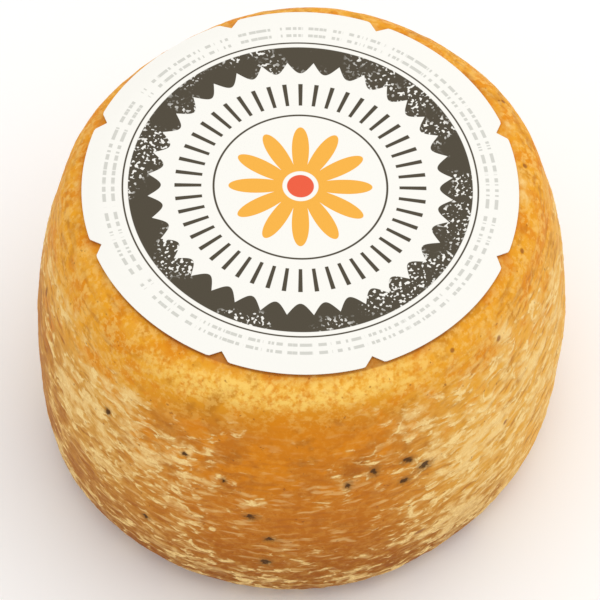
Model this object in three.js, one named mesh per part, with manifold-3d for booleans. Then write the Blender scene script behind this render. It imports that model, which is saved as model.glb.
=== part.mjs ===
// Whole smoked cow milk cheese with a round paper label on its top face.
// Millimetres, +Z up. The origin is on the resting surface, under the middle of the cheese.
//
// The wheel is one uncut solid: a drum with a bulging side, rounded edges and a flat base,
// a little out of true, as a pressed and matured cheese is. Its top face slopes slightly.
// The label is a thin sheet with eight small notches cut in its rim. It lies over the top face
// and bends down with the rounded edge.

import * as THREE from "three";
import { mergeVertices } from "three/addons/utils/BufferGeometryUtils.js";
import Module from "manifold-3d";

// Size of the wheel
const WHEEL_DIAMETER = 180;
const WHEEL_HEIGHT = 123;
const WIDEST_LEVEL = 50.5;
const SIDE_ARC_RADIUS = 225;
const TOP_EDGE_RADIUS = 15.5;
const BASE_EDGE_RADIUS = 16;
const CROWN = 0.8;

// How far the wheel is out of true. The top edge sits further back than the base edge, the top
// face rises to the back and to the left, and hand-sized dents run round the side and over the top
const LEAN = new THREE.Vector2(0.4, 2.6);
const TOP_SLOPE = new THREE.Vector2(-0.024, 0.023);
const SIDE_DENT = 0.25;
const TOP_DENT = 0.12;

// Neither edge is round. Each swells in a few lobes, the first of them standing at an azimuth
// in degrees
const FOOT_SWELL = [
  { lobes: 2, height: 2.9, azimuth: 34 },
  { lobes: 4, height: 0.8, azimuth: 6 },
];
const TOP_SWELL = [
  { lobes: 2, height: 2.35, azimuth: 47.5 },
  { lobes: 5, height: 0.9, azimuth: 18 },
];

// Size and place of the label
const LABEL_DIAMETER = 145.4;
const LABEL_THICKNESS = 0.4;
const LABEL_GAP = 0.3;
const LABEL_STIFFNESS = 0.35;
const LABEL_CENTRE = new THREE.Vector2(-0.3, 1.3);
const LABEL_TURN = -1.0;
const NOTCH_OFF_AXIS = 20.6;
const NOTCH_DEPTH = 3.1;
const NOTCH_MOUTH = 7.7;

// How finely the surfaces are divided
const WHEEL_SEGMENTS = 100;
const LABEL_SEGMENTS = 90;
const EDGE_STEPS = 8;
const SIDE_STEPS = 11;
const TOP_RINGS = [24, 47];
const BASE_RINGS = [35];
const LABEL_RINGS = [24, 45, 58, 64, 68.5];

const WHEEL_RADIUS = WHEEL_DIAMETER / 2;
const LABEL_RADIUS = LABEL_DIAMETER / 2;
const TOP_LEVEL = WHEEL_HEIGHT - CROWN;

const SIDE_ARC_CENTRE = WHEEL_RADIUS - SIDE_ARC_RADIUS;

// Centre of the arc that rounds one edge. The arc touches the flat face and runs on smoothly
// into the side arc, at the angle called joint.
function edgeArc(edgeRadius, faceLevel) {
  const level = faceLevel - Math.sign(faceLevel - WIDEST_LEVEL) * edgeRadius;
  const reach = SIDE_ARC_RADIUS - edgeRadius;
  const joint = Math.asin((level - WIDEST_LEVEL) / reach);
  const radius = SIDE_ARC_CENTRE + reach * Math.cos(joint);
  return { radius, level, joint };
}

const TOP_EDGE = edgeArc(TOP_EDGE_RADIUS, TOP_LEVEL);
const BASE_EDGE = edgeArc(BASE_EDGE_RADIUS, 0);

// Half of the wheel's section, from the middle of the base to the middle of the top.
function wheelProfile() {
  const points = [new THREE.Vector2(0, 0)];
  for (const ring of BASE_RINGS) {
    points.push(new THREE.Vector2(ring, 0));
  }
  for (let i = 0; i <= EDGE_STEPS; i++) {
    const angle = THREE.MathUtils.lerp(-Math.PI / 2, BASE_EDGE.joint, i / EDGE_STEPS);
    points.push(onArc(BASE_EDGE.radius, BASE_EDGE.level, BASE_EDGE_RADIUS, angle));
  }
  for (let i = 1; i < SIDE_STEPS; i++) {
    const angle = THREE.MathUtils.lerp(BASE_EDGE.joint, TOP_EDGE.joint, i / SIDE_STEPS);
    points.push(onArc(SIDE_ARC_CENTRE, WIDEST_LEVEL, SIDE_ARC_RADIUS, angle));
  }
  for (let i = 0; i <= EDGE_STEPS; i++) {
    const angle = THREE.MathUtils.lerp(TOP_EDGE.joint, Math.PI / 2, i / EDGE_STEPS);
    points.push(onArc(TOP_EDGE.radius, TOP_EDGE.level, TOP_EDGE_RADIUS, angle));
  }
  for (const ring of [...TOP_RINGS].reverse()) {
    points.push(new THREE.Vector2(ring, TOP_LEVEL));
  }
  points.push(new THREE.Vector2(0, TOP_LEVEL));
  return points;
}

function onArc(centreRadius, centreLevel, arcRadius, angle) {
  return new THREE.Vector2(
    centreRadius + arcRadius * Math.cos(angle),
    centreLevel + arcRadius * Math.sin(angle)
  );
}

// Sideways shift of the wheel's middle line at a level.
function lean(level) {
  return LEAN.clone().multiplyScalar((level - WIDEST_LEVEL) / WHEEL_HEIGHT);
}

// Rise of a point, given from the middle line, that makes the top face slope. It grows from
// nothing at the base, which stays flat.
function tilt(x, y, level) {
  return (TOP_SLOPE.x * x + TOP_SLOPE.y * y) * level / WHEEL_HEIGHT;
}

function swell(lobeSets, azimuth) {
  let sum = 0;
  for (const set of lobeSets) {
    sum += set.height * Math.cos(set.lobes * (azimuth - THREE.MathUtils.degToRad(set.azimuth)));
  }
  return sum;
}

// Factor on the wheel's radius at an azimuth and a level. The dents fade out at both edges.
function outOfTrue(azimuth, level) {
  const up = level / WHEEL_HEIGHT;
  const edges = THREE.MathUtils.lerp(swell(FOOT_SWELL, azimuth), swell(TOP_SWELL, azimuth), up);
  const dents = Math.sin(7 * azimuth + level / 11) * Math.cos(level / 14 - 2 * azimuth)
    + Math.sin(5 * azimuth - level / 9 + 2) * Math.sin(level / 19 + 3 * azimuth);
  const overFoot = THREE.MathUtils.smoothstep(level, 0, BASE_EDGE_RADIUS);
  const underTop = THREE.MathUtils.smoothstep(TOP_LEVEL - level, 0, TOP_EDGE_RADIUS);
  return 1 + (edges + SIDE_DENT * overFoot * underTop * dents) / WHEEL_RADIUS;
}

// Rise of the top face over its edge: a low crown with slight dents, fading out at the edge.
function topRise(radius, azimuth) {
  const share = Math.min(radius / TOP_EDGE.radius, 1);
  const dents = Math.sin(3 * azimuth + radius / 13) * Math.cos(radius / 17 + azimuth);
  const amongTop = 4 * share * share * (1 - share);
  return CROWN * (1 - share * share) + TOP_DENT * amongTop * dents;
}

// Height of the lying label's underside over a place given by x and y. Where the top's edge
// rounds off, the stiff paper follows only a part of the drop.
function labelBed(x, y) {
  const place = new THREE.Vector2(x, y).sub(lean(TOP_LEVEL));
  const azimuth = Math.atan2(place.y, place.x);
  const radius = place.length() / outOfTrue(azimuth, TOP_LEVEL);
  const past = Math.max(radius - TOP_EDGE.radius, 0);
  const drop = TOP_EDGE_RADIUS - Math.sqrt(TOP_EDGE_RADIUS ** 2 - past ** 2);
  const top = TOP_LEVEL + topRise(radius, azimuth) + tilt(place.x, place.y, TOP_LEVEL);
  return top - (1 - LABEL_STIFFNESS) * drop + LABEL_GAP;
}

// Point at a distance over the label's underside, square to the paper.
function overBed(x, y, distance) {
  const step = 0.5;
  const slopeX = (labelBed(x + step, y) - labelBed(x - step, y)) / (2 * step);
  const slopeY = (labelBed(x, y + step) - labelBed(x, y - step)) / (2 * step);
  const normal = new THREE.Vector3(-slopeX, -slopeY, 1).normalize();
  return new THREE.Vector3(x, y, labelBed(x, y)).addScaledVector(normal, distance);
}

// Turns a lathe's work upright, so that its axis is Z, and moves each of its points by a rule.
function reshape(geometry, rule) {
  geometry.rotateX(Math.PI / 2);
  const position = geometry.getAttribute("position");
  const point = new THREE.Vector3();
  for (let i = 0; i < position.count; i++) {
    point.fromBufferAttribute(position, i);
    const moved = rule(point);
    position.setXYZ(i, moved.x, moved.y, moved.z);
  }
  return geometry;
}

function wheelGeometry() {
  const drum = new THREE.LatheGeometry(wheelProfile(), WHEEL_SEGMENTS);
  return reshape(drum, (point) => {
    const azimuth = Math.atan2(point.y, point.x);
    const radius = Math.hypot(point.x, point.y);
    const place = new THREE.Vector2(point.x, point.y).multiplyScalar(outOfTrue(azimuth, point.z));
    const rise = point.z > TOP_EDGE.level ? topRise(radius, azimuth) : 0;
    const shift = lean(point.z);
    return new THREE.Vector3(
      place.x + shift.x,
      place.y + shift.y,
      point.z + rise + tilt(place.x, place.y, point.z)
    );
  });
}

// A thin disc from the lathe, bent over the top face, still without its notches.
function labelBlank() {
  const under = [0, ...LABEL_RINGS, LABEL_RADIUS];
  const profile = [
    ...under.map((radius) => new THREE.Vector2(radius, 0)),
    ...under.reverse().map((radius) => new THREE.Vector2(radius, LABEL_THICKNESS)),
  ];
  const disc = new THREE.LatheGeometry(profile, LABEL_SEGMENTS);
  return reshape(disc, (point) =>
    overBed(point.x + LABEL_CENTRE.x, point.y + LABEL_CENTRE.y, point.z));
}

// A three-sided punch for one notch: its point lies inside the label's rim, its mouth outside.
function notchPunch(angle) {
  const reach = 2;
  const inner = LABEL_RADIUS - NOTCH_DEPTH;
  const outer = inner + NOTCH_DEPTH * reach;
  const halfMouth = NOTCH_MOUTH / 2 * reach;
  const outline = new THREE.Shape([
    new THREE.Vector2(inner, 0),
    new THREE.Vector2(outer, -halfMouth),
    new THREE.Vector2(outer, halfMouth),
  ]);
  const punch = new THREE.ExtrudeGeometry(outline, { depth: TOP_EDGE_RADIUS, bevelEnabled: false });
  punch.rotateZ(THREE.MathUtils.degToRad(angle));
  punch.translate(LABEL_CENTRE.x, LABEL_CENTRE.y, TOP_LEVEL - TOP_EDGE_RADIUS / 2);
  return punch;
}

const wasm = await Module();
wasm.setup();

function toSolid(geometry) {
  geometry.deleteAttribute("normal");
  geometry.deleteAttribute("uv");
  const merged = mergeVertices(geometry, 1e-4);
  return new wasm.Manifold(new wasm.Mesh({
    numProp: 3,
    vertProperties: new Float32Array(merged.getAttribute("position").array),
    triVerts: new Uint32Array(withoutSlivers(merged.getIndex().array)),
  }));
}

// The lathe leaves triangles with no width at its axis. They go once their corners are merged.
function withoutSlivers(index) {
  const kept = [];
  for (let i = 0; i < index.length; i += 3) {
    const [a, b, c] = index.slice(i, i + 3);
    if (a !== b && b !== c && c !== a) {
      kept.push(a, b, c);
    }
  }
  return kept;
}

function toGeometry(solid) {
  const mesh = solid.getMesh();
  const geometry = new THREE.BufferGeometry();
  geometry.setAttribute("position", new THREE.BufferAttribute(mesh.vertProperties, mesh.numProp));
  geometry.setIndex(new THREE.BufferAttribute(mesh.triVerts, 1));
  return geometry;
}

function labelGeometry() {
  let label = toSolid(labelBlank());
  for (let quarter = 0; quarter < 360; quarter += 90) {
    for (const side of [-1, 1]) {
      const angle = LABEL_TURN + quarter + side * NOTCH_OFF_AXIS;
      label = label.subtract(toSolid(notchPunch(angle)));
    }
  }
  return toGeometry(label);
}

function buildWheel() {
  const rind = new THREE.MeshStandardMaterial({ color: 0xd9962f, roughness: 0.6, metalness: 0 });
  const wheel = new THREE.Mesh(wheelGeometry(), rind);
  wheel.name = "cheese_wheel";
  return wheel;
}

function buildLabel() {
  const paper = new THREE.MeshStandardMaterial({ color: 0xf6f4ee, roughness: 0.75, metalness: 0 });
  const label = new THREE.Mesh(labelGeometry(), paper);
  label.name = "paper_label";
  return label;
}

// The middle of the whole cheese stands over the origin.
const cheese = new THREE.Group();
cheese.add(buildWheel(), buildLabel());
const middle = new THREE.Box3().setFromObject(cheese).getCenter(new THREE.Vector3());
cheese.position.set(-middle.x, -middle.y, 0);

export default cheese;
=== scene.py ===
# %% [markdown]
# # A smoked cow milk cheese with a round paper label
#
# The real thing is a small farmhouse wheel, 18 cm across, smoked until its rind is amber, with
# pale mould left in its wrinkles and a thin notched label on its top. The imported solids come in
# first and stay as they are. The pieces that are seen are modelled round them in metres, with
# the wheel's foot on the floor, at height 0.

# %% The frame
from math import cos, pi, radians, sin, sqrt

import bpy
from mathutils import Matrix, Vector


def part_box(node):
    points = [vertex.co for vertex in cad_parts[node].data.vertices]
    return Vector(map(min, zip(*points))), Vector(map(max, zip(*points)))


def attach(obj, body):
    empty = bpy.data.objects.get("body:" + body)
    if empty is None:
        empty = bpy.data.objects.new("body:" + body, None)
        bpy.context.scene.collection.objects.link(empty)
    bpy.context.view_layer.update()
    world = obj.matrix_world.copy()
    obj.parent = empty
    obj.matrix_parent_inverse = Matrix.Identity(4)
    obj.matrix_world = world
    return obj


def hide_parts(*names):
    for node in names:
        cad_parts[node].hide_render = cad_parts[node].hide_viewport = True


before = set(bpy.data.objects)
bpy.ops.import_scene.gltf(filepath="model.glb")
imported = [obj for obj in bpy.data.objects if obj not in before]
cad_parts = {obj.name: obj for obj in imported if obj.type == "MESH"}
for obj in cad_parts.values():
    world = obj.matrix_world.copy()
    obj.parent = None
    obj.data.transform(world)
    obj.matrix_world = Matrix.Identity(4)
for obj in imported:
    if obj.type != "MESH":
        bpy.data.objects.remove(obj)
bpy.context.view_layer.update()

scene = bpy.context.scene
MM = 0.001

# %% [markdown]
# ## Camera
#
# The cheese was seen from above its front, 55 degrees over the table, through a long lens that
# leaves hardly any perspective. A camera could be turned by hand until the outline fits. Here it
# stands at a set distance from the point it aims at, along one direction, so that the angle, the
# distance and the lens can each be changed alone.

# %% The camera
VIEW_ELEVATION = radians(55.5)
VIEW_DISTANCE = 1.8
LENS = 314.6
AIM = Vector((-0.8, -0.4, 58.4)) * MM

towards_camera = Vector((0, -cos(VIEW_ELEVATION), sin(VIEW_ELEVATION)))
bpy.ops.object.camera_add(
    location=AIM + VIEW_DISTANCE * towards_camera,
    rotation=(pi / 2 - VIEW_ELEVATION, 0, 0),
)
camera = bpy.context.object
camera.data.lens = LENS
scene.camera = camera
print("camera at", [round(value, 3) for value in camera.location])

# %% [markdown]
# ## Floor and light
#
# The picture was taken in a light tent: a white ground, a wide soft light overhead, a little to
# the right and behind, and white all around. A wide area light gives the soft shading from top to
# side, and a pale world fills the shadows. The lamp is hidden from the camera, so that it can
# hang where a view from above would meet it. The Standard view keeps the colours as painted.

# %% Floor, light and world
FLOOR_SIZE = 16
FLOOR_WHITE = (0.95, 0.95, 0.95, 1)
LAMP_PLACE = Vector((0.5, 0.2, 1.8))
LAMP_SIZE = 2.4
LAMP_POWER = 13.5
WORLD_STRENGTH = 0.84

bpy.ops.mesh.primitive_plane_add(size=FLOOR_SIZE, location=(0, 0, 0))
floor = bpy.context.object
floor.name = "floor"
ground = bpy.data.materials.new("white_ground")
ground.use_nodes = True
ground_shader = ground.node_tree.nodes["Principled BSDF"]
ground_shader.inputs["Base Color"].default_value = FLOOR_WHITE
ground_shader.inputs["Roughness"].default_value = 0.9
ground_shader.inputs["Specular IOR Level"].default_value = 0.1
floor.data.materials.append(ground)

bpy.ops.object.light_add(type="AREA", location=LAMP_PLACE)
lamp = bpy.context.object
lamp.data.shape = "DISK"
lamp.data.size = LAMP_SIZE
lamp.data.energy = LAMP_POWER
lamp.rotation_euler = (-LAMP_PLACE).to_track_quat("-Z", "Y").to_euler()
lamp.visible_camera = False

world = bpy.data.worlds.new("light_tent")
world.use_nodes = True
world.node_tree.nodes["Background"].inputs["Color"].default_value = (1, 1, 1, 1)
world.node_tree.nodes["Background"].inputs["Strength"].default_value = WORLD_STRENGTH
scene.world = world
scene.view_settings.view_transform = "Standard"
print("lamp", LAMP_POWER, "W, world", WORLD_STRENGTH)

# %% [markdown]
# ## The wheel
#
# The curd was pressed in a round mould, so the wheel is a drum with a bulging side and rounded
# edges. A lathe profile would do, but a hand-shaped drum is easier to follow: a cylinder of the
# right size has both rims bevelled, its side cut into rows with bisect, and its flat ends inset.

# %% A drum with rounded rims
SIDES = 64
RIM_ROUNDING = 15.5 * MM
RIM_STEPS = 3
SIDE_ROWS = 10
END_RINGS = 3

lowest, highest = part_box("cheese_wheel")
wheel_radius = (highest.x - lowest.x) / 2
wheel_height = highest.z


def clear_selection():
    bpy.ops.object.select_all(action="DESELECT")


def select_faces(piece, wanted):
    """Selects the faces for which wanted(face) holds, in edit mode, and nothing else."""
    bpy.ops.mesh.select_all(action="DESELECT")
    bpy.ops.object.mode_set(mode="OBJECT")
    for face in piece.data.polygons:
        face.select = wanted(face)
    bpy.ops.object.mode_set(mode="EDIT")


clear_selection()
bpy.ops.mesh.primitive_cylinder_add(
    vertices=SIDES,
    radius=wheel_radius,
    depth=wheel_height,
    location=(0, 0, wheel_height / 2),
)
wheel = bpy.context.object
wheel.name = "rind_wheel"
bpy.ops.object.transform_apply(location=True, rotation=True, scale=True)

bpy.ops.object.mode_set(mode="EDIT")
bpy.ops.mesh.select_mode(type="FACE")
select_faces(wheel, lambda face: abs(face.normal.z) > 0.9)
bpy.ops.mesh.select_mode(type="EDGE")
bpy.ops.mesh.region_to_loop()
bpy.ops.mesh.bevel(offset=RIM_ROUNDING, segments=RIM_STEPS, affect="EDGES")

side_start = RIM_ROUNDING
side_end = wheel_height - RIM_ROUNDING
for row in range(1, SIDE_ROWS):
    level = side_start + (side_end - side_start) * row / SIDE_ROWS
    bpy.ops.mesh.select_all(action="SELECT")
    bpy.ops.mesh.bisect(plane_co=(0, 0, level), plane_no=(0, 0, 1))

bpy.ops.mesh.select_mode(type="FACE")
select_faces(wheel, lambda face: len(face.vertices) == SIDES)
for ring in range(1, END_RINGS):
    bpy.ops.mesh.inset(thickness=(wheel_radius - RIM_ROUNDING) / END_RINGS)
bpy.ops.object.mode_set(mode="OBJECT")
print("drum:", len(wheel.data.vertices), "points,", len(wheel.data.polygons), "faces")

# %% [markdown]
# ## Out of true
#
# A ripened cheese is never quite round: it leans a little and its foot is oval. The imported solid
# has that form, so the drum is divided finely and laid on it with Shrinkwrap, then smoothed so
# that none of the solid's flat facets show. The fine mesh is also what carries the wrinkles.

# %% The drum takes the solid's form
FINE_LEVELS = 3


def apply_modifier(piece, kind, **settings):
    """Adds one modifier with these settings and applies it."""
    clear_selection()
    piece.select_set(True)
    bpy.context.view_layer.objects.active = piece
    modifier = piece.modifiers.new(kind.lower(), kind)
    for name, value in settings.items():
        setattr(modifier, name, value)
    bpy.ops.object.modifier_apply(modifier=modifier.name)


apply_modifier(wheel, "SUBSURF", levels=FINE_LEVELS, render_levels=FINE_LEVELS)
apply_modifier(
    wheel,
    "SHRINKWRAP",
    target=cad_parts["cheese_wheel"],
    wrap_method="NEAREST_SURFACEPOINT",
)
apply_modifier(wheel, "SMOOTH", factor=0.5, iterations=14)
print("wheel:", len(wheel.data.polygons), "faces")

# %% [markdown]
# ## Nodes that serve twice
#
# The wrinkles have to be real relief, and the pale mould has to lie just where they rise. So the
# pattern is built from nodes that both Geometry Nodes and a material know, and one function lays
# it out in either tree. These small helpers add one node each and keep the recipes readable.

# %% Small helpers for node trees


def put(tree, socket, value):
    """Joins a socket to another node's output, or sets it to a plain value."""
    if isinstance(value, bpy.types.NodeSocket):
        tree.links.new(value, socket)
    else:
        socket.default_value = value


def work(tree, operation, *values, clamp=False):
    node = tree.nodes.new("ShaderNodeMath")
    node.operation = operation
    node.use_clamp = clamp
    for socket, value in zip(node.inputs, values):
        put(tree, socket, value)
    return node.outputs["Value"]


def vector_work(tree, operation, *values):
    node = tree.nodes.new("ShaderNodeVectorMath")
    node.operation = operation
    for socket, value in zip(node.inputs, values):
        put(tree, socket, value)
    wanted = "Value" if operation in ("LENGTH", "DISTANCE", "DOT_PRODUCT") else "Vector"
    return node.outputs[wanted]


def ramp(tree, value, start, end, low=0.0, high=1.0):
    """Low before start, high after end, and a soft change between them."""
    node = tree.nodes.new("ShaderNodeMapRange")
    node.interpolation_type = "SMOOTHSTEP"
    for socket, given in zip(node.inputs, (value, start, end, low, high)):
        put(tree, socket, given)
    return node.outputs["Result"]


def noise(tree, place, size, detail=2.0, roughness=0.5, distortion=0.0, seed=0.0):
    """Soft random values between 0 and 1. Size is that of one blotch, in millimetres."""
    node = tree.nodes.new("ShaderNodeTexNoise")
    node.noise_dimensions = "4D"
    put(tree, node.inputs["Vector"], place)
    node.inputs["W"].default_value = seed
    node.inputs["Scale"].default_value = 1 / size
    node.inputs["Detail"].default_value = detail
    node.inputs["Roughness"].default_value = roughness
    node.inputs["Distortion"].default_value = distortion
    return node.outputs[0]


def vector_noise(tree, place, size, seed=0.0):
    """A random push in every direction, each part between -0.5 and 0.5."""
    node = tree.nodes.new("ShaderNodeTexNoise")
    node.noise_dimensions = "4D"
    put(tree, node.inputs["Vector"], place)
    node.inputs["W"].default_value = seed
    node.inputs["Scale"].default_value = 1 / size
    node.inputs["Detail"].default_value = 1.0
    return vector_work(tree, "SUBTRACT", node.outputs["Color"], (0.5, 0.5, 0.5))


def mix(tree, share, first, second, blend="MIX"):
    """Mixes two colours."""
    node = tree.nodes.new("ShaderNodeMix")
    node.data_type = "RGBA"
    node.blend_type = blend
    put(tree, node.inputs["Factor"], share)
    put(tree, node.inputs[6], first)
    put(tree, node.inputs[7], second)
    return node.outputs[2]


# %% [markdown]
# ## Where things are on the wheel
#
# Object coordinates, in millimetres, say where a point of the rind is: its height, and the way it
# faces round the axis. A direction round the axis is compared with a set one by a dot product,
# which has no seam at the back, as an unrolled angle would have.

# %% Height and direction


def level_of(tree, place):
    node = tree.nodes.new("ShaderNodeSeparateXYZ")
    put(tree, node.inputs[0], place)
    return node.outputs["Z"]


def facing(tree, place, azimuth, full, none):
    """1 within full degrees of the azimuth round the axis, falling to 0 at none degrees."""
    outward = vector_work(tree, "NORMALIZE", vector_work(tree, "MULTIPLY", place, (1, 1, 0)))
    aim = (cos(radians(azimuth)), sin(radians(azimuth)), 0)
    likeness = vector_work(tree, "DOT_PRODUCT", outward, aim)
    return ramp(tree, likeness, cos(radians(none)), cos(radians(full)))


def patch(tree, place, azimuth, level, width, height, radius=88.0):
    """1 at a spot on the side, falling to 0 at width and height from it, in millimetres."""
    angle = radians(azimuth)
    centre = (radius * cos(angle), radius * sin(angle), level)
    offset = vector_work(tree, "SUBTRACT", place, centre)
    scaled = vector_work(tree, "MULTIPLY", offset, (1 / width, 1 / width, 1 / height))
    return ramp(tree, vector_work(tree, "LENGTH", scaled), 1.0, 0.0)


def widest(tree, *values):
    """The largest of several values."""
    most = values[0]
    for value in values[1:]:
        most = work(tree, "MAXIMUM", most, value)
    return most


# %% [markdown]
# ## Specks, each in its own place
#
# The dark specks are few and large enough to be told apart, so each one has its own place: its
# direction round the axis, its height, and half its width and height. A ray from the axis finds
# the point of the rind there. Painting them by hand would do as well, but would tie the finish
# to one unwrapping of the mesh.

# %% Places of the specks
DARK_SPECKS = [
    (-74, 78, 2.0, 2.5),
    (-80, 74, 1.5, 2.1),
    (-66, 78, 2.7, 1.8),
    (-62, 72, 3.0, 2.4),
    (-67, 68, 2.3, 1.8),
    (-97, 46, 2.4, 1.7),
    (-98, 31, 2.4, 2.3),
    (-101, 59, 2.7, 1.9),
    (-107, 76, 1.1, 1.6),
    (-125, 38, 1.8, 1.5),
    (-136, 83, 1.5, 1.9),
    (-116, 84, 1.4, 1.3),
]
BROWN_SPECKS = [
    (-63, 33, 3.0, 1.3),
    (-50, 114, 1.1, 1.1),
    (-36, 104, 1.3, 1.8),
    (-38, 63, 1.3, 1.5),
    (-15, 115, 1.2, 1.2),
    (10, 118, 1.2, 1.2),
    (31, 117, 1.1, 1.1),
    (-169, 87, 1.6, 3.0),
]


def rind_point(azimuth, level):
    """The point of the wheel's side in a direction and at a height, in millimetres."""
    outward = Vector((cos(radians(azimuth)), sin(radians(azimuth)), 0))
    result = wheel.ray_cast(Vector((0, 0, level * MM)), outward)
    return result[1] / MM


def away_from(tree, place, specks):
    """Distance to the nearest speck, as a share of that speck's size."""
    nearest = None
    for azimuth, level, width, height in specks:
        offset = vector_work(tree, "SUBTRACT", place, tuple(rind_point(azimuth, level)))
        scaled = vector_work(tree, "MULTIPLY", offset, (1 / width, 1 / width, 1 / height))
        share = vector_work(tree, "LENGTH", scaled)
        nearest = share if nearest is None else work(tree, "MINIMUM", nearest, share)
    return nearest


print("first speck at", [round(value, 1) for value in rind_point(*DARK_SPECKS[0][:2])])

# %% [markdown]
# ## The rind's pattern
#
# Turning the wheel on its shelves draws the mould out round it, so the noise is stretched along
# the side: the point's x and y are shrunk before the noise reads them, and its height is not.
# Mould lies thick on both flanks and thin on the front, where the cheese was handled. This cell
# says how readily it grows at each place.

# %% Where mould grows
BLOTCH_SIZE = 17.0
BLOTCH_STRENGTH = 0.42
OVERALL_COVER = -0.045
BARE_LOSS = -0.155
LUSH_GAIN = 0.08
SHOULDER_LOSS = -0.10


def cover_of(tree, place):
    """How readily mould grows at a place: above 0 more than half of the rind is covered."""
    level = level_of(tree, place)
    bare = widest(
        tree,
        patch(tree, place, -90, 92, 40, 42),
        patch(tree, place, -84, 52, 38, 50),
        patch(tree, place, -102, 46, 20, 30),
        patch(tree, place, -170, 50, 26, 64),
    )
    lush = widest(
        tree,
        patch(tree, place, -136, 72, 36, 32),
        patch(tree, place, -38, 66, 62, 60),
        patch(tree, place, -56, 30, 40, 28),
    )
    blotches = noise(tree, place, BLOTCH_SIZE, detail=2.0, seed=11.0)
    cover = work(
        tree,
        "MULTIPLY_ADD",
        work(tree, "SUBTRACT", blotches, 0.5),
        BLOTCH_STRENGTH,
        OVERALL_COVER,
    )
    cover = work(tree, "MULTIPLY_ADD", bare, BARE_LOSS, cover)
    cover = work(tree, "MULTIPLY_ADD", lush, LUSH_GAIN, cover)
    on_shoulder = ramp(tree, level, 96.0, 112.0)
    return work(tree, "MULTIPLY_ADD", on_shoulder, SHOULDER_LOSS, cover)


# %% [markdown]
# ### Haze, patches and crinkles
#
# Mould shows in three ways. Where it starts it is a thin haze, where it is thick it lies in
# patches, and between the two it stands in crinkles, short pale lines. A line is cheap to get
# from noise: it runs where the value passes its middle. Streaks, drawn out further still, are
# the wrinkles of the rind itself, and the specks give pits with ragged edges.

# %% Wrinkles, mould and pits, for either tree
PATCH_STRETCH = (0.52, 0.52, 1.0)
STREAK_STRETCH = (0.26, 0.26, 1.0)
PATCH_SIZE = 4.8
FLECK_SIZE = 2.0
CRINKLE_SIZE = 3.6
STREAK_SIZE = 2.1
RAGGEDNESS = 1.6


def rind_pattern(tree, place):
    """The mould's haze, the mould, the streaks, the wrinkles and the nearness of specks."""
    drift = vector_noise(tree, place, 8.0, seed=3.0)
    warped = vector_work(tree, "ADD", place, vector_work(tree, "MULTIPLY", drift, (5.0, 5.0, 4.0)))
    drawn = vector_work(tree, "MULTIPLY", warped, PATCH_STRETCH)
    patches = noise(tree, drawn, PATCH_SIZE, detail=3.0, roughness=0.6, seed=8.0)
    flecks = noise(tree, drawn, FLECK_SIZE, detail=2.0, seed=5.0)
    growth = work(tree, "MULTIPLY_ADD", flecks, 0.45, work(tree, "MULTIPLY", patches, 0.55))
    thickness = work(tree, "ADD", work(tree, "SUBTRACT", growth, 0.5), cover_of(tree, place))
    haze = ramp(tree, thickness, -0.15, 0.03)
    thick = ramp(tree, thickness, -0.045, 0.12)

    fold = work(tree, "SUBTRACT", noise(tree, drawn, CRINKLE_SIZE, detail=0.6, seed=17.0), 0.5)
    lines = ramp(tree, work(tree, "ABSOLUTE", fold), 0.085, 0.03)
    broken = work(tree, "MULTIPLY", lines, ramp(tree, flecks, 0.45, 0.54))
    crinkles = work(tree, "MULTIPLY", broken, ramp(tree, thickness, -0.08, 0.01))
    crinkles = work(tree, "MULTIPLY", crinkles, ramp(tree, level_of(tree, place), 110.0, 96.0))
    mould = work(tree, "MAXIMUM", work(tree, "MULTIPLY", thick, 0.8), crinkles)

    along = vector_work(tree, "MULTIPLY", warped, STREAK_STRETCH)
    streaks = noise(tree, along, STREAK_SIZE, detail=1.5, seed=14.0)
    wrinkles = work(tree, "MULTIPLY_ADD", streaks, 0.5, work(tree, "MULTIPLY", patches, 0.5))
    ragged = noise(tree, place, 1.2, detail=2.0, seed=2.0)
    nearness = work(
        tree,
        "MULTIPLY_ADD",
        work(tree, "SUBTRACT", ragged, 0.5),
        RAGGEDNESS,
        away_from(tree, place, DARK_SPECKS),
    )
    return haze, mould, streaks, wrinkles, nearness


# %% [markdown]
# ## Wrinkles as real relief
#
# A bump texture would leave the outline smooth. So a Geometry Nodes tree moves each point along
# its normal: out where mould and wrinkles stand up, in at the pits. It is applied, so the mesh
# itself is wrinkled. Nothing moves under the label or on the base, which rests on the floor.

# %% The relief is set into the mesh
WRINKLE_HEIGHT = 1.4
MOULD_HEIGHT = 0.2
PIT_DEPTH = 0.5

relief = bpy.data.node_groups.new("rind_relief", "GeometryNodeTree")
relief.interface.new_socket("Geometry", in_out="INPUT", socket_type="NodeSocketGeometry")
relief.interface.new_socket("Geometry", in_out="OUTPUT", socket_type="NodeSocketGeometry")
entry = relief.nodes.new("NodeGroupInput")
leave = relief.nodes.new("NodeGroupOutput")
mover = relief.nodes.new("GeometryNodeSetPosition")
position = relief.nodes.new("GeometryNodeInputPosition").outputs[0]
normal = relief.nodes.new("GeometryNodeInputNormal").outputs[0]
place = vector_work(relief, "MULTIPLY", position, (1000, 1000, 1000))

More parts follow.
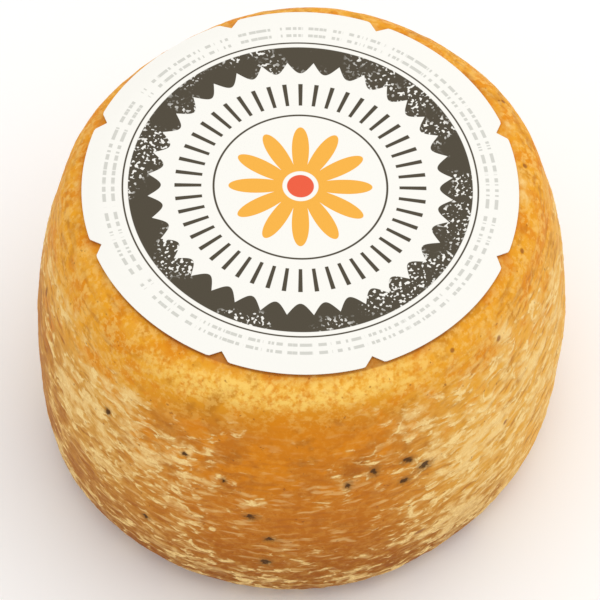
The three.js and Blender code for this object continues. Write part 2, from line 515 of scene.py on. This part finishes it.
haze, mould, streaks, wrinkles, nearness = rind_pattern(relief, place)
from_axis = vector_work(relief, "LENGTH", vector_work(relief, "MULTIPLY", place, (1, 1, 0)))
free = work(
    relief,
    "MULTIPLY",
    ramp(relief, level_of(relief, place), 1.0, 9.0),
    ramp(relief, from_axis, 68.0, 76.0),
)
rise = work(relief, "MULTIPLY", WRINKLE_HEIGHT, work(relief, "SUBTRACT", wrinkles, 0.70))
rise = work(relief, "ADD", rise, work(relief, "MULTIPLY", MOULD_HEIGHT, mould))
rise = work(relief, "SUBTRACT", rise, ramp(relief, nearness, 1.0, 0.3, 0.0, PIT_DEPTH))
rise = work(relief, "MULTIPLY", work(relief, "MULTIPLY", rise, free), MM)
pushed = relief.nodes.new("ShaderNodeVectorMath")
pushed.operation = "SCALE"
put(relief, pushed.inputs[0], normal)
put(relief, pushed.inputs["Scale"], rise)
put(relief, mover.inputs["Offset"], pushed.outputs[0])
put(relief, mover.inputs["Geometry"], entry.outputs[0])
put(relief, leave.inputs[0], mover.outputs[0])

apply_modifier(wheel, "NODES", node_group=relief)
bpy.ops.object.shade_smooth()
print("wheel with its wrinkles:", [round(value * 1000, 2) for value in wheel.dimensions])

# %% [markdown]
# ## The rind's finish
#
# Smoke colours the rind golden on the shoulder, and it is browner down the front. The colours are
# mixed from broad to fine: the ground colour by place, granular mottling, the pale mould of the
# shared pattern, and last the dark specks. Grain too small for the mesh comes as bump.

# %% Colours and helpers for materials


def colour(red, green, blue):
    """A linear colour from the usual 0 to 255 values."""
    def linear(value):
        share = value / 255
        return share / 12.92 if share <= 0.04045 else ((share + 0.055) / 1.055) ** 2.4
    return (linear(red), linear(green), linear(blue), 1)


def new_material(name, roughness, specular):
    material = bpy.data.materials.new(name)
    material.use_nodes = True
    shader = material.node_tree.nodes["Principled BSDF"]
    shader.inputs["Roughness"].default_value = roughness
    shader.inputs["Specular IOR Level"].default_value = specular
    return material, material.node_tree, shader


def millimetres(tree, centre=(0, 0, 0)):
    """Object coordinates in millimetres, measured from a centre."""
    coordinates = tree.nodes.new("ShaderNodeTexCoord").outputs["Object"]
    mapping = tree.nodes.new("ShaderNodeMapping")
    mapping.inputs["Location"].default_value = [-1000 * value for value in centre]
    mapping.inputs["Scale"].default_value = (1000, 1000, 1000)
    put(tree, mapping.inputs["Vector"], coordinates)
    return mapping.outputs["Vector"]


# %% [markdown]
# ### Ground colours
#
# The shoulder is golden, the flanks are orange, and the front is brown and grows darker towards the
# foot. The far left is darker brown too, partly the rind's own colour and partly painted shade
# where the side turns away at the outline. Amber blotches lie high on the side. Broad noise keeps
# these zones from looking airbrushed.

# %% Ground colours by place
GOLDEN = colour(232, 160, 38)
FLANK = colour(232, 168, 58)
BROWNED = colour(194, 114, 24)
DEEP_BROWN = colour(146, 80, 18)
EDGE_BROWN_AND_SHADE = colour(164, 96, 36)
AMBER = colour(222, 134, 14)

rind, tree, shader = new_material("smoked_rind", 0.6, 0.09)
place = millimetres(tree)
haze, mould, streaks, wrinkles, nearness = rind_pattern(tree, place)
level = level_of(tree, place)
clouds = noise(tree, place, 9.0, detail=3.0, seed=41.0)

front = facing(tree, place, -94, 12, 50)
painted = mix(tree, front, FLANK, BROWNED)
foot = work(tree, "MULTIPLY", ramp(tree, level, 66.0, 8.0), facing(tree, place, -106, 52, 86))
low = work(tree, "MULTIPLY_ADD", foot, 0.9, ramp(tree, level, 26.0, 4.0, 0.0, 0.2), clamp=True)
painted = mix(tree, low, painted, DEEP_BROWN)
# Far left, low down: darker brown, partly the rind's own colour and partly painted shade at the
# outline.
left_brown_and_shade = work(tree, "MULTIPLY", facing(tree, place, -172, 4, 60), ramp(tree, level, 112.0, 66.0))
left_brown_and_shade = work(tree, "MULTIPLY", left_brown_and_shade, ramp(tree, clouds, 0.3, 0.6, 0.5, 1.0))
painted = mix(tree, work(tree, "MULTIPLY", left_brown_and_shade, 0.85), painted, EDGE_BROWN_AND_SHADE)
height = work(tree, "MULTIPLY_ADD", front, -12.0, level)
painted = mix(tree, ramp(tree, height, 84.0, 104.0), painted, GOLDEN)
amber = work(
    tree,
    "MULTIPLY",
    ramp(tree, clouds, 0.48, 0.60, 0.0, 0.75),
    ramp(tree, level, 60.0, 86.0),
)
amber = widest(tree, amber, work(tree, "MULTIPLY", patch(tree, place, -90, 98, 36, 22), 0.8))
painted = mix(tree, amber, painted, AMBER)
painted = mix(tree, ramp(tree, clouds, 0.44, 0.30, 0.0, 0.4), painted, DEEP_BROWN)

# %% [markdown]
# ### Grain of the shoulder
#
# Near the label the rind is granular: pale dots stand close together, thickest in a band at the
# front, which is partly painted highlight. A ring of deeper orange runs round the paper's edge. At
# the front a thin brown line under the paper's rim is painted shadow.

# %% Granular mottling and the ring round the label
SHOULDER_PALE = colour(240, 186, 92)
BAND_PALE_AND_HIGHLIGHT = colour(250, 206, 104)
RING_ORANGE = colour(208, 120, 28)
SHADE_BROWN = colour(158, 86, 30)

label_low, label_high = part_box("paper_label")
label_centre = (label_low + label_high) / 2

mottle = noise(tree, place, 2.2, detail=3.0, roughness=0.6, seed=21.0)
dots = noise(tree, place, 1.6, detail=2.0, seed=24.0)
on_shoulder = ramp(tree, height, 84.0, 106.0, 0.15, 0.8)
mottled = work(tree, "MULTIPLY", ramp(tree, mottle, 0.46, 0.62), on_shoulder)
painted = mix(tree, mottled, painted, SHOULDER_PALE)
ragged_level = work(tree, "MULTIPLY_ADD", work(tree, "SUBTRACT", clouds, 0.5), 14.0, level)
# A pale band at the front below the label: granular rind, partly painted highlight.
band_front_highlight = work(
    tree,
    "MULTIPLY",
    facing(tree, place, -92, 16, 44),
    work(tree, "SUBTRACT", ramp(tree, ragged_level, 108.5, 113.5), ramp(tree, level, 117.0, 120.0)),
)
granular = work(tree, "MULTIPLY_ADD", dots, 0.4, work(tree, "MULTIPLY", mottle, 0.6))
pale_band_and_highlight = work(tree, "MULTIPLY", band_front_highlight, ramp(tree, granular, 0.36, 0.60, 0.1, 0.9))
painted = mix(tree, pale_band_and_highlight, painted, BAND_PALE_AND_HIGHLIGHT)
grains = work(tree, "MULTIPLY", ramp(tree, dots, 0.47, 0.28, 0.0, 0.45), on_shoulder)
painted = mix(tree, grains, painted, RING_ORANGE)

from_label = vector_work(
    tree,
    "LENGTH",
    vector_work(tree, "MULTIPLY", millimetres(tree, label_centre), (1, 1, 0)),
)
ring = ramp(tree, from_label, 76.5, 71.5)
ring = work(tree, "MULTIPLY", ring, ramp(tree, clouds, 0.38, 0.6, 0.15, 0.8))
painted = mix(tree, ring, painted, RING_ORANGE)
# A thin brown line of painted shadow under the label's front rim.
contact_shadow = work(
    tree,
    "MULTIPLY",
    ramp(tree, from_label, 73.4, 72.8),
    facing(tree, place, -90, 30, 75),
)
painted = mix(tree, work(tree, "MULTIPLY", contact_shadow, 0.6), painted, SHADE_BROWN)

# %% [markdown]
# ### Mould, painted shade in the creases, and specks
#
# The mould's share comes from the pattern that also raised it, with its haze as a thin veil.
# Along the streaks the rind shows pale ridges, and brown painted shade lies in the creases, most of
# all low on the flanks.
# Each dark speck has a soft brown rim, and small pores are strewn between them.

# %% Mould, painted shade in the creases, and specks
HAZE = colour(230, 177, 86)
MOULD = colour(250, 217, 146)
SPECK = colour(74, 46, 20)
SPECK_RIM = colour(150, 100, 42)
BROWN_SPECK = colour(138, 74, 30)

# Brown painted shade in the creases between the streaks.
crease_shade = work(
    tree,
    "MULTIPLY",
    ramp(tree, streaks, 0.49, 0.30),
    work(tree, "MULTIPLY_ADD", front, -0.35, ramp(tree, level, 110.0, 76.0, 0.35, 0.7)),
    clamp=True,
)
painted = mix(tree, crease_shade, painted, SHADE_BROWN)
ridges = work(
    tree,
    "MULTIPLY",
    ramp(tree, streaks, 0.55, 0.70, 0.0, 0.35),
    ramp(tree, level, 108.0, 70.0, 0.1, 1.0),
)
painted = mix(tree, ridges, painted, MOULD)

kept_brown = work(tree, "MAXIMUM", front, foot)
veil = work(tree, "MULTIPLY", haze, work(tree, "MULTIPLY_ADD", kept_brown, -0.42, 0.6))
painted = mix(tree, veil, painted, HAZE)
grain = noise(tree, place, 0.8, detail=2.0, seed=31.0)
dusted = work(tree, "MULTIPLY", mould, ramp(tree, grain, 0.3, 0.65, 0.6, 0.95))
painted = mix(tree, dusted, painted, MOULD)

painted = mix(tree, ramp(tree, nearness, 1.7, 0.7, 0.0, 0.6), painted, SPECK_RIM)
painted = mix(tree, ramp(tree, nearness, 0.85, 0.35, 0.0, 0.92), painted, SPECK)
brown = ramp(tree, away_from(tree, place, BROWN_SPECKS), 1.1, 0.4, 0.0, 0.75)
pores = ramp(tree, noise(tree, place, 1.6, detail=1.0, seed=52.0), 0.70, 0.78, 0.0, 0.55)
painted = mix(tree, widest(tree, brown, pores), painted, BROWN_SPECK)
put(tree, shader.inputs["Base Color"], painted)

# %% [markdown]
# ### Fine grain
#
# What is left is finer than the mesh: the powder of the mould and the pores. That is what bump
# is for.

# %% Fine grain as bump
bump = tree.nodes.new("ShaderNodeBump")
bump.inputs["Strength"].default_value = 0.75
bump.inputs["Distance"].default_value = 0.8 * MM
powder = work(tree, "MULTIPLY_ADD", grain, 0.2, work(tree, "MULTIPLY", mould, 0.4))
put(tree, bump.inputs["Height"], work(tree, "ADD", powder, wrinkles))
put(tree, shader.inputs["Normal"], bump.outputs["Normal"])
wheel.data.materials.append(rind)
print("rind:", len(tree.nodes), "nodes")

# %% [markdown]
# ## The label
#
# The label is a thin round paper with eight small notches in its rim, which let it lie on the
# rounded edge. It starts as its rim, a circle of edges over the cheese, and is drawn inwards
# ring by ring. Shrinkwrap lowers it straight down onto the top, a little smoothing gives it the
# stiffness of paper, and Solidify its thickness.

# %% A paper disc is laid on the cheese
LABEL_RADIUS = 72.9 * MM
PAPER_RINGS = (70.6, 68.5, 66.0, 63.0, 59.0, 54.0, 48.0, 42.0, 35.0, 28.0, 21.0, 14.0, 8.0, 3.0)
START_LEVEL = 0.14
PAPER_LIFT = 0.5 * MM
PAPER_THICKNESS = 0.28 * MM

clear_selection()
bpy.ops.mesh.primitive_circle_add(
    vertices=240,
    radius=LABEL_RADIUS,
    location=(label_centre.x, label_centre.y, START_LEVEL),
)
label = bpy.context.object
label.name = "notched_label"
bpy.ops.object.transform_apply(location=True, rotation=True, scale=True)
bpy.ops.object.mode_set(mode="EDIT")
bpy.ops.mesh.select_all(action="SELECT")
outer = LABEL_RADIUS / MM
for ring in PAPER_RINGS:
    bpy.ops.mesh.extrude_edges_move()
    bpy.ops.transform.resize(
        value=(ring / outer, ring / outer, 1),
        center_override=(label_centre.x, label_centre.y, START_LEVEL),
    )
    outer = ring
bpy.ops.mesh.edge_face_add()
bpy.ops.mesh.select_all(action="SELECT")
bpy.ops.mesh.normals_make_consistent(inside=False)
bpy.ops.object.mode_set(mode="OBJECT")
if label.data.polygons[0].normal.z < 0:
    label.data.flip_normals()

apply_modifier(
    label,
    "SHRINKWRAP",
    target=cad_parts["cheese_wheel"],
    wrap_method="PROJECT",
    use_project_z=True,
    use_positive_direction=False,
    use_negative_direction=True,
)
apply_modifier(label, "SMOOTH", factor=0.5, iterations=8, use_x=False, use_y=False)
bpy.ops.transform.translate(value=(0, 0, PAPER_LIFT))
bpy.ops.object.transform_apply(location=True, rotation=False, scale=False)
apply_modifier(label, "SOLIDIFY", thickness=PAPER_THICKNESS, offset=1)
levels = [corner.co.z / MM for corner in label.data.vertices]
print("paper lies between", round(min(levels), 1), "and", round(max(levels), 1), "mm")

# %% [markdown]
# ## Notches
#
# Each notch is a small V, two of them either side of each quarter of the rim. A three-sided
# cylinder, widened sideways, is the punch. A second, flatter one takes the sharp corners off the
# notch's mouth, as the real die does. Eight of a kind are joined and cut out in one Boolean.

# %% Eight notches are punched
NOTCH_TURN = -1.0
NOTCH_OFF_AXIS = 20.6
NOTCH_CUTS = ((3.1 * MM, 7.2 * MM), (0.8 * MM, 9.6 * MM))
PUNCH_RADIUS = 6 * MM


def add_punch(angle, depth, mouth):
    clear_selection()
    bpy.ops.mesh.primitive_cylinder_add(vertices=3, radius=PUNCH_RADIUS, depth=20 * MM)
    punch = bpy.context.object
    # The blank's first corner points along +Y: it becomes the tip of the notch.
    bpy.ops.transform.resize(value=(mouth / depth / 2 * sqrt(3), 1, 1))
    bpy.ops.object.transform_apply(location=False, rotation=False, scale=True)
    reach = LABEL_RADIUS - depth + PUNCH_RADIUS
    punch.rotation_euler = (0, 0, angle + pi / 2)
    punch.location = (
        label_centre.x + reach * cos(angle),
        label_centre.y + reach * sin(angle),
        label_centre.z,
    )
    return punch


for depth, mouth in NOTCH_CUTS:
    punches = []
    for quarter in range(0, 360, 90):
        for side in (-1, 1):
            angle = radians(quarter + NOTCH_TURN + side * NOTCH_OFF_AXIS)
            punches.append(add_punch(angle, depth, mouth))
    for punch in punches:
        punch.select_set(True)
    bpy.ops.object.join()
    bpy.ops.object.transform_apply(location=True, rotation=True, scale=True)
    die = bpy.context.object
    apply_modifier(label, "BOOLEAN", object=die, operation="DIFFERENCE", solver="EXACT")
    bpy.data.objects.remove(die)
clear_selection()
label.select_set(True)
bpy.ops.object.shade_smooth_by_angle(angle=radians(40))
print("label:", [round(value * 1000, 2) for value in label.dimensions])

# %% [markdown]
# ## The label's print
#
# Plain ink on off-white paper. Every shape is a ring, a tick or a petal, drawn from the
# distance to the label's middle and the angle round it, so no picture is needed. The dark wreath
# is worn in places, as by a dry roller, and two rings of fine dashes run round the rim.

# %% The label's material
PAPER = colour(240, 238, 231)
DARK_INK = colour(70, 62, 46)
AMBER_INK = colour(238, 172, 60)
RED_INK = colour(228, 86, 52)
GREY_INK = colour(204, 203, 195)

PETALS = 12
ROSETTE_WAIST = 9.0
PETAL_LENGTH = 15.0
TICKS = 48
SCALLOPS = 36
DASH_SIZE = 1.1

paper, tree, shader = new_material("printed_paper", 0.6, 0.3)
place = millimetres(tree, label_centre)
flat = vector_work(tree, "MULTIPLY", place, (1, 1, 0))
radius = vector_work(tree, "LENGTH", flat)
parts = tree.nodes.new("ShaderNodeSeparateXYZ")
put(tree, parts.inputs[0], flat)
angle = work(tree, "ARCTAN2", parts.outputs["Y"], parts.outputs["X"])


def band(tree, value, start, end, soft=0.12):
    """1 between start and end, with a narrow soft edge."""
    inside = ramp(tree, value, work(tree, "SUBTRACT", start, soft), work(tree, "ADD", start, soft))
    beyond = ramp(tree, value, work(tree, "SUBTRACT", end, soft), work(tree, "ADD", end, soft))
    return work(tree, "SUBTRACT", inside, beyond)


def wave(tree, angle, count, turn=0.0):
    """A wave round the label, between -1 and 1."""
    return work(tree, "COSINE", work(tree, "MULTIPLY_ADD", angle, float(count), turn))


petal = work(tree, "ABSOLUTE", wave(tree, angle, PETALS / 2))
petal_edge = work(tree, "MULTIPLY_ADD", petal, PETAL_LENGTH, ROSETTE_WAIST)
rosette = band(tree, radius, 6.0, petal_edge)
core = band(tree, radius, -1.0, 4.5)
scallop = work(tree, "ABSOLUTE", wave(tree, angle, SCALLOPS / 2))
wreath = band(tree, radius, work(tree, "MULTIPLY_ADD", scallop, -4.5, 51.0), 57.5)
inner_rule = band(tree, radius, 28.6, 29.3, 0.1)
outer_rule = band(tree, radius, 59.0, 59.6, 0.1)
rules = work(tree, "ADD", inner_rule, outer_rule)
round_rim = vector_work(tree, "MULTIPLY", vector_work(tree, "NORMALIZE", flat), (63.0, 63.0, 0.0))
dashes = ramp(tree, noise(tree, round_rim, DASH_SIZE, detail=0.0, seed=63.0), 0.44, 0.52)
inner_dashes = band(tree, radius, 61.9, 63.1, 0.15)
outer_dashes = band(tree, radius, 64.9, 66.1, 0.15)
dash_rings = work(tree, "MULTIPLY", work(tree, "ADD", inner_dashes, outer_dashes), dashes)
spokes = ramp(tree, wave(tree, angle, TICKS), 0.55, 0.75)
ticks = work(tree, "MULTIPLY", band(tree, radius, 33.0, 42.0, 0.1), spokes)
worn = work(
    tree,
    "MULTIPLY",
    ramp(tree, noise(tree, flat, 1.2, detail=1.0, seed=61.0), 0.56, 0.61),
    ramp(tree, noise(tree, flat, 14.0, seed=62.0), 0.46, 0.58),
)
inked = mix(tree, dash_rings, PAPER, GREY_INK)
inked = mix(tree, widest(tree, wreath, rules, ticks), inked, DARK_INK)
inked = mix(tree, work(tree, "MULTIPLY", wreath, worn), inked, PAPER)
inked = mix(tree, rosette, inked, AMBER_INK)
inked = mix(tree, core, inked, RED_INK)
put(tree, shader.inputs["Base Color"], inked)
label.data.materials.append(paper)
print("print:", len(tree.nodes), "nodes")

# %% [markdown]
# ## Handing over
#
# Each new piece is attached to the body it moves with, and the solid it stands for is hidden.

# %% Pieces and the end
for piece, node, finish in ((wheel, "cheese_wheel", "rind"), (label, "paper_label", "label_paper")):
    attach(piece, "root")
    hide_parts(node)
